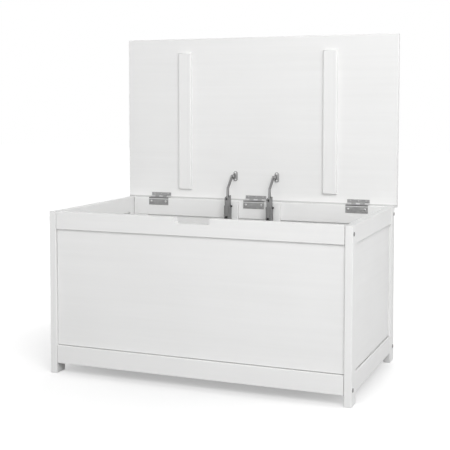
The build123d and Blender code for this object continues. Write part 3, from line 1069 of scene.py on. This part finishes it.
@dataclass(frozen=True)
class LidBoards:
    """The lid and the two battens across its inner face.

    Attributes:
        board: The lid.
        battens: The battens.
        painted_shade: A band of painted shade on the lid's inner face along the back rail.
    """

    board: str = "lid_board"
    battens: tuple[str, ...] = ("left_batten", "right_batten")
    # Painted shade along the lid's foot, on its inner face next to the back rail
    painted_shade: Band = Band(
        "Z", middle=0.4312, half=0.002, colour=(0.56, 0.56, 0.555), within=("Y", 0.2265, 0.003)
    )

    def build(self) -> None:
        """Soften and paint the lid and its battens."""
        painted = PaintedWood(Grain.ALONG_X, self.board, (self.painted_shade,))
        soften(self.board, painted, EASED_BOARD)
        for node in self.battens:
            soften(node, PaintedWood(Grain.ALONG_Z), EASED_BOARD)


@dataclass(frozen=True)
class CornerHardware:
    """The bolts through the legs, the barrel nuts they draw up, and the dowels.

    Attributes:
        side_x: The outer face of the legs.
        front_y: The middle of the front rails.
        back_y: The middle of the back rails.
        heights: The heights of the bolts.
        nut_x: Where the nuts are.
        nut_front_y: The inner face of the front rails.
        nut_back_y: The rear face of the back rails.
        bolt: The bolt, with a rounded head.
        nut: The barrel nut, with a slot at its end.
    """

    side_x: float = 0.408
    front_y: float = -0.231
    back_y: float = 0.215
    heights: tuple[float, ...] = (0.04, 0.409)
    nut_x: float = 0.354
    nut_front_y: float = -0.222
    nut_back_y: float = 0.224
    bolt: Fastener = Fastener(
        shank=0.003,
        length=0.0619,
        head=0.00525,
        height=0.0016,
        recess=Recess.HEX,
        reach=0.0023,
        sink=0.0011,
        pointed=False,
    )
    nut: Fastener = Fastener(
        shank=0.005,
        length=0.0138,
        head=0.005,
        height=0.0002,
        recess=Recess.SLOT,
        reach=0.0031,
        sink=0.0012,
        pointed=False,
    )

    def build(self) -> None:
        """Turn the bolts and nuts, and finish the dowels."""
        bolts = bmesh.new()
        nuts = bmesh.new()
        for side in (-1, 1):
            for height in self.heights:
                for y in (self.front_y, self.back_y):
                    self.bolt.build(bolts, (side * self.side_x, y, height), Vector((side, 0, 0)))
                for y in (self.nut_front_y, self.nut_back_y):
                    seat = (side * self.nut_x, y - self.nut.height, height)
                    self.nut.build(nuts, seat, TO_REAR)
        place_piece("socket_head_bolts", bolts, GREY_BOLT, "connector_bolts", Crisp.SCREW_HEAD)
        place_piece("slotted_barrel_nuts", nuts, BRIGHT_STEEL, "barrel_nuts", Crisp.SCREW_HEAD)
        dress_node("frame_dowels", BareWood())


def dress_node(node: str, finish: Finish) -> None:
    """Give a node that stays its finish.

    Args:
        node: The node.
        finish: Its finish.
    """
    kept = frame["nodes"][node]
    kept.data.materials.clear()
    kept.data.materials.append(finish.material())
    LOG.info("%s keeps its own shape", node)


@dataclass(frozen=True)
class HingeSet:
    """Three bent hinges along the back rail, with their pins and cross-head screws.

    Attributes:
        places: The name and the middle of each hinge.
        length: The length of a hinge.
        axis_y: The hinge line, front to back.
        axis_z: The hinge line's height.
        pin_radius: The pin's radius.
        pin_strips: Strips round the pin.
        fixed_steps: Where the fixed leaf's screws are along it.
        fixed_seat: The seat of those screws: front to back, then height.
        moving_steps: Where the moving leaf's screws are along it.
        moving_seat: The seat of those screws.
        fixed_screw: A screw of the fixed leaf.
        moving_screw: A screw of the moving leaf.
    """

    places: tuple[tuple[str, float], ...] = (("left", -0.305), ("middle", 0.0), ("right", 0.305))
    length: float = 0.0635
    axis_y: float = 0.224
    axis_z: float = 0.4325
    pin_radius: float = 0.0013
    pin_strips: int = 16
    fixed_steps: tuple[float, ...] = (-0.02375, 0.02375)
    fixed_seat: tuple[float, float] = (0.2048, 0.419)
    moving_steps: tuple[float, ...] = (-0.022, 0.0, 0.022)
    moving_seat: tuple[float, float] = (0.2253, 0.44)
    fixed_screw: Fastener = Fastener(
        shank=0.0015, length=0.012, head=0.0032, height=0.0014, recess=Recess.CROSS, reach=0.0016, sink=0.0008
    )
    moving_screw: Fastener = Fastener(
        shank=0.0015, length=0.012, head=0.0026, height=0.0014, recess=Recess.CROSS, reach=0.0014, sink=0.0008
    )

    # A pin's rounded end: how far out and how far back from the tip, as shares of its radius
    PIN_END = ((0.0, 0.0), (0.6, 0.0), (0.92, 0.14), (1.0, 0.4))

    def build(self) -> None:
        """Soften the leaves, turn the pins and drive the screws."""
        for name, middle in self.places:
            soften(f"{name}_hinge_fixed_leaf", ZINC_WITH_PAINTED_LIGHT, FOLDED_SHEET)
            soften(f"{name}_hinge_moving_leaf", ZINC_SHEET, FOLDED_SHEET)
            self.build_pin(name, middle)
        for leaf, screw, finish, steps, seat in (
            ("fixed", self.fixed_screw, BRIGHT_STEEL, self.fixed_steps, self.fixed_seat),
            ("moving", self.moving_screw, DULL_STEEL, self.moving_steps, self.moving_seat),
        ):
            screws = bmesh.new()
            for _, middle in self.places:
                for step in steps:
                    screw.build(screws, (middle + step, *seat), TO_FRONT)
            node = f"{leaf}_leaf_screws"
            place_piece(f"{leaf}_leaf_cross_screws", screws, finish, node, Crisp.SCREW_HEAD)

    def build_pin(self, name: str, middle: float) -> None:
        """Turn one pin with rounded ends.

        Args:
            name: The hinge's name.
            middle: The middle of the hinge.
        """
        half = self.length / 2
        end = tuple((out * self.pin_radius, half - back * self.pin_radius) for out, back in self.PIN_END)
        shape = bmesh.new()
        lathe(shape, tuple((radius, -height) for radius, height in end) + end[::-1], self.pin_strips)
        bmesh.ops.recalc_face_normals(shape, faces=shape.faces[:])
        along = UP.rotation_difference(TO_RIGHT).to_matrix().to_4x4()
        place = Matrix.Translation((middle, self.axis_y, self.axis_z))
        bmesh.ops.transform(shape, matrix=place @ along, verts=shape.verts[:])
        node = f"{name}_hinge_pin"
        place_piece(f"{name}_hinge_turned_pin", shape, BRIGHT_STEEL, node, Crisp.TURNED)


@dataclass(frozen=True)
class LidSupports:
    """The two spring-loaded supports: housing, end cap, spring, guide screw, plunger, link and bracket.

    Attributes:
        places: The name, the middle of the housing and the middle of the bracket.
        middle_y: The middle of the housings, front to back.
        housing_seat_y: The seat of the housing screws.
        housing_heights: The heights of the housing screws.
        bracket_seat_y: The seat of the bracket screws.
        bracket_heights: The heights of the bracket screws.
        flange: From the middle of a housing to its right flange.
        guide_y: The guide screws, front to back.
        guide_z: The height of the guide screws.
        spring_foot: The height that the springs stand on; not used.
        spring_low: The spring's lower end.
        spring_high: The spring's upper end.
        spring_radius: The radius at the middle of the wire.
        wire: The wire's radius.
        wire_strips: Strips round the wire.
        turns: The open turns.
        turn_steps: Steps in a turn.
        closed_rise: The rise of the closed turn at each end, in radii of the wire.
        spring_keep: The share of the spring's length that is left when the lid is shut; not used.
        housing_screw: A screw of a housing.
        bracket_screw: A screw of a bracket.
        guide: The guide screw.
    """

    places: tuple[tuple[str, float, float], ...] = (("left", -0.0715, -0.064), ("right", 0.0565, 0.064))
    middle_y: float = 0.183
    housing_seat_y: float = 0.1938
    housing_heights: tuple[float, ...] = (0.291, 0.405)
    bracket_seat_y: float = 0.2245
    bracket_heights: tuple[float, ...] = (0.49, 0.51)
    flange: float = 0.0075
    guide_y: float = 0.189
    guide_z: float = 0.415
    spring_foot: float = 0.282
    spring_low: float = 0.2822
    spring_high: float = 0.3868
    spring_radius: float = 0.004
    wire: float = 0.0006
    wire_strips: int = 10
    turns: int = 10
    turn_steps: int = 24
    closed_rise: float = 2.2
    spring_keep: float = 0.2505
    housing_screw: Fastener = Fastener(
        shank=0.0015, length=0.011, head=0.0026, height=0.0014, recess=Recess.CROSS, reach=0.0014, sink=0.0008
    )
    bracket_screw: Fastener = Fastener(
        shank=0.0015, length=0.012, head=0.0026, height=0.0014, recess=Recess.CROSS, reach=0.0014, sink=0.0008
    )
    guide: Fastener = Fastener(
        shank=0.002,
        length=0.0022,
        head=0.003,
        height=0.0035,
        recess=Recess.SLOT,
        reach=0.0017,
        sink=0.0008,
        pointed=False,
    )

    def build(self) -> None:
        """Build both supports and their screws."""
        for name, housing_x, _ in self.places:
            self.build_sheet_work(name)
            self.build_guide(name, housing_x)
            self.build_spring(name, housing_x)
        housing_seats = [
            (housing_x, self.housing_seat_y, height)
            for _, housing_x, _ in self.places
            for height in self.housing_heights
        ]
        bracket_seats = [
            (bracket_x, self.bracket_seat_y, height)
            for _, _, bracket_x in self.places
            for height in self.bracket_heights
        ]
        self.drive("housing", self.housing_screw, DULL_STEEL, housing_seats)
        self.drive("bracket", self.bracket_screw, BRIGHT_STEEL, bracket_seats)

    def build_sheet_work(self, name: str) -> None:
        """Soften the folded, moulded and riveted pieces of one support.

        Args:
            name: Which support, left or right.
        """
        soften(f"{name}_support_housing", GREY_ENAMEL, FOLDED_SHEET)
        soften(f"{name}_support_end_cap", GREY_MOULDED, MOULDED_EDGE)
        soften(f"{name}_plunger", GREY_MOULDED, MOULDED_EDGE)
        soften(f"{name}_link", LINK_ZINC, FOLDED_SHEET)
        soften(f"{name}_lid_bracket", BRACKET_ZINC, FOLDED_SHEET)
        soften(f"{name}_bracket_pin", BRIGHT_STEEL, FOLDED_SHEET)

    def build_guide(self, name: str, housing_x: float) -> None:
        """Turn the black guide screw in a housing's right flange.

        Args:
            name: Which support, left or right.
            housing_x: The middle of its housing.
        """
        shape = bmesh.new()
        self.guide.build(shape, (housing_x + self.flange, self.guide_y, self.guide_z), TO_RIGHT)
        node = f"{name}_guide_screw"
        place_piece(f"{name}_guide_slotted", shape, BLACK_MOULDED, node, Crisp.TURNED)

    def build_spring(self, name: str, housing_x: float) -> None:
        """Wind one spring with closed ends and give it a mesh of its own.

        Args:
            name: Which support, left or right.
            housing_x: The middle of its housing.
        """
        shape = bmesh.new()
        start = Matrix.Translation((self.spring_radius, 0, self.spring_low + self.wire))
        section = bmesh.ops.create_circle(
            shape,
            cap_ends=False,
            segments=self.wire_strips,
            radius=self.wire,
            matrix=start @ Matrix.Rotation(math.pi / 2, 4, "X"),
        )["verts"]
        geometry = section + shape.edges[:]
        closed = self.closed_rise * self.wire
        open_rise = self.spring_high - self.spring_low - 2 * self.wire - 2 * closed
        for turns, rise in ((1, closed), (self.turns, open_rise), (1, closed)):
            steps = self.turn_steps * turns
            geometry = bmesh.ops.spin(
                shape,
                geom=geometry,
                cent=(0, 0, 0),
                axis=UP,
                dvec=(0, 0, rise / steps),
                angle=FULL_TURN * turns,
                steps=steps,
                use_merge=False,
            )["geom_last"]
        bmesh.ops.holes_fill(shape, edges=[edge for edge in shape.edges if edge.is_boundary], sides=0)
        bmesh.ops.recalc_face_normals(shape, faces=shape.faces[:])
        bmesh.ops.translate(shape, vec=(housing_x, self.middle_y, 0), verts=shape.verts[:])
        node = f"{name}_spring"
        coil = place_piece(f"{name}_coil_spring", shape, BRIGHT_STEEL, node, Crisp.WIRE)
        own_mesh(coil)

    def drive(self, use: str, screw: Fastener, finish: Finish, seats: list[Point]) -> None:
        """Drive the screws of both housings or of both brackets.

        Args:
            use: What the screws hold, housing or bracket.
            screw: The screw.
            finish: The screws' finish.
            seats: Where their heads rest.
        """
        shape = bmesh.new()
        for seat in seats:
            screw.build(shape, seat, TO_FRONT)
        place_piece(f"{use}_cross_screws", shape, finish, f"{use}_screws", Crisp.SCREW_HEAD)


@dataclass(frozen=True)
class SoftLamp:
    """A square studio lamp.

    Attributes:
        name: The lamp's name.
        place: Where it hangs.
        aim: What it points at.
        size: Its side in metres.
        power: Its power in watts.
    """

    name: str
    place: Point
    aim: Point
    size: float
    power: float

    def hang(self) -> None:
        """Add the lamp to the scene."""
        data = bpy.data.lights.new(self.name, "AREA")
        data.shape = "SQUARE"
        data.size = self.size
        data.energy = self.power
        lamp = bpy.data.objects.new(self.name, data)
        bpy.context.scene.collection.objects.link(lamp)
        way = Vector(self.aim) - Vector(self.place)
        lamp.matrix_world = Matrix.Translation(self.place) @ way.to_track_quat("-Z", "Y").to_matrix().to_4x4()


@dataclass(frozen=True)
class Studio:
    """The pale floor, the soft light and the camera.

    Attributes:
        floor_half: Half the floor's side.
        floor_grey: The floor's own grey.
        bounce_grey: The grey that it throws back at the object.
        near_lift: What the floor adds towards the camera beside the object.
        far_lift: What it adds far off, so that it reads as white where the lamps don't reach.
        lift_from: How far from the middle the lift starts to grow.
        lift_to: How far from the middle it has grown.
        dome_low: How strongly the surroundings light the object from beside it.
        dome_high: How strongly they light it from straight above.
        sensor: The width of the camera's sensor in millimetres.
        lens: The camera's focal length in millimetres.
        shift: The camera's vertical shift.
        eye: Where the camera stands.
        yaw: How far it is turned to the left, in degrees.
        pitch: How far it looks down, in degrees.
        lamps: The lamps.
    """

    floor_half: float = 12.0
    floor_grey: float = 0.66
    bounce_grey: float = 0.35
    near_lift: float = 0.36
    far_lift: float = 0.8
    lift_from: float = 0.3
    lift_to: float = 1.2
    dome_low: float = 1.2
    dome_high: float = 0.0
    sensor: float = 36.0
    lens: float = 76.648
    shift: float = -0.13
    eye: Point = (0.95053, -2.39452, 0.70753)
    yaw: float = 21.7978
    pitch: float = 3.6479
    lamps: tuple[SoftLamp, ...] = (
        SoftLamp("key", place=(1.7, -2.2, 2.3), aim=(0.0, 0.0, 0.5), size=1.6, power=54.0),
        SoftLamp("fill", place=(-0.3, -3.3, 1.5), aim=(0.0, 0.0, 0.4), size=2.2, power=19.0),
        SoftLamp("side", place=(2.8, -0.2, 1.6), aim=(0.3, 0.0, 0.4), size=1.6, power=11.0),
        SoftLamp("behind", place=(-0.6, 3.4, 1.8), aim=(0.0, 0.2, 0.5), size=2.0, power=46.0),
    )

    def build(self) -> None:
        """Lay the floor, light the scene and set the camera."""
        self.lay_floor()
        self.light_dome()
        for lamp in self.lamps:
            lamp.hang()
        self.set_camera()
        bpy.context.scene.view_settings.view_transform = "Standard"

    def seen_directly(self, bench: Bench) -> Socket:
        """Tell the rays that look at the background from those that only light the object.

        Args:
            bench: The bench of the floor's or the world's tree.

        Returns:
            1 for camera, glossy and transmission rays, else 0.
        """
        path = bench.node("ShaderNodeLightPath")
        seen = bench.sum("ADD", path.outputs["Is Camera Ray"], path.outputs["Is Glossy Ray"], clamp=True)
        return bench.sum("ADD", seen, path.outputs["Is Transmission Ray"], clamp=True)

    def lay_floor(self) -> None:
        """Make the floor, which reads as white but keeps the object's shadow."""
        shape = bmesh.new()
        bmesh.ops.create_grid(shape, x_segments=1, y_segments=1, size=self.floor_half)
        mesh = bpy.data.meshes.new("studio_floor")
        shape.to_mesh(mesh)
        shape.free()
        made = bpy.data.materials.new("studio_floor")
        made.use_nodes = True
        made.node_tree.nodes.clear()
        bench = Bench(made.node_tree)
        matte = bench.node("ShaderNodeBsdfDiffuse")
        seen = self.seen_directly(bench)
        bench.feed(matte, "Color", bench.mix(seen, (self.bounce_grey,) * 3, (self.floor_grey,) * 3))
        lift = bench.node("ShaderNodeEmission")
        far = bench.node("ShaderNodeVectorMath", operation="LENGTH")
        bench.feed(far, 0, bench.node("ShaderNodeTexCoord").outputs["Object"])
        lifts = (self.near_lift, self.far_lift, self.lift_from, self.lift_to)
        bench.feed(lift, "Strength", bench.sum("MULTIPLY", seen, bench.spread(far.outputs["Value"], *lifts)))
        both = bench.node("ShaderNodeAddShader")
        bench.feed(both, 0, matte.outputs[0])
        bench.feed(both, 1, lift.outputs[0])
        bench.feed(bench.node("ShaderNodeOutputMaterial"), "Surface", both.outputs[0])
        mesh.materials.append(made)
        floor = bpy.data.objects.new("studio_floor", mesh)
        bpy.context.scene.collection.objects.link(floor)

    def light_dome(self) -> None:
        """Light the object from all round, with white behind it."""
        world = bpy.data.worlds.new("studio")
        bpy.context.scene.world = world
        world.use_nodes = True
        world.node_tree.nodes.clear()
        bench = Bench(world.node_tree)
        back = bench.node("ShaderNodeBackground")
        bench.feed(back, "Color", (1.0, 1.0, 1.0, 1.0))
        way = bench.node("ShaderNodeSeparateXYZ")
        bench.feed(way, "Vector", bench.node("ShaderNodeTexCoord").outputs["Generated"])
        glow = bench.spread(way.outputs["Z"], self.dome_low, self.dome_high, 0.0, 1.0)
        extra = bench.sum("MULTIPLY", self.seen_directly(bench), bench.sum("SUBTRACT", 1.0, glow))
        bench.feed(back, "Strength", bench.sum("ADD", extra, glow))
        bench.feed(bench.node("ShaderNodeOutputWorld"), "Surface", back.outputs[0])

    def set_camera(self) -> None:
        """Set the camera at the photograph's viewing angle."""
        data = bpy.data.cameras.new("camera")
        data.sensor_width = self.sensor
        data.lens = self.lens
        data.shift_y = self.shift
        camera = bpy.data.objects.new("camera", data)
        bpy.context.scene.collection.objects.link(camera)
        camera.location = self.eye
        camera.rotation_euler = (math.radians(90.0 - self.pitch), 0.0, math.radians(self.yaw))
        bpy.context.scene.camera = camera


def main() -> None:
    """Build the sub-assemblies in order, then the studio."""
    logging.basicConfig(level=logging.INFO, format="%(name)s: %(message)s")
    for assembly in (Carcass(), LidBoards(), CornerHardware(), HingeSet(), LidSupports(), Studio()):
        assembly.build()
        LOG.info("%s done", type(assembly).__name__)


if __name__ == "__main__":
    main()
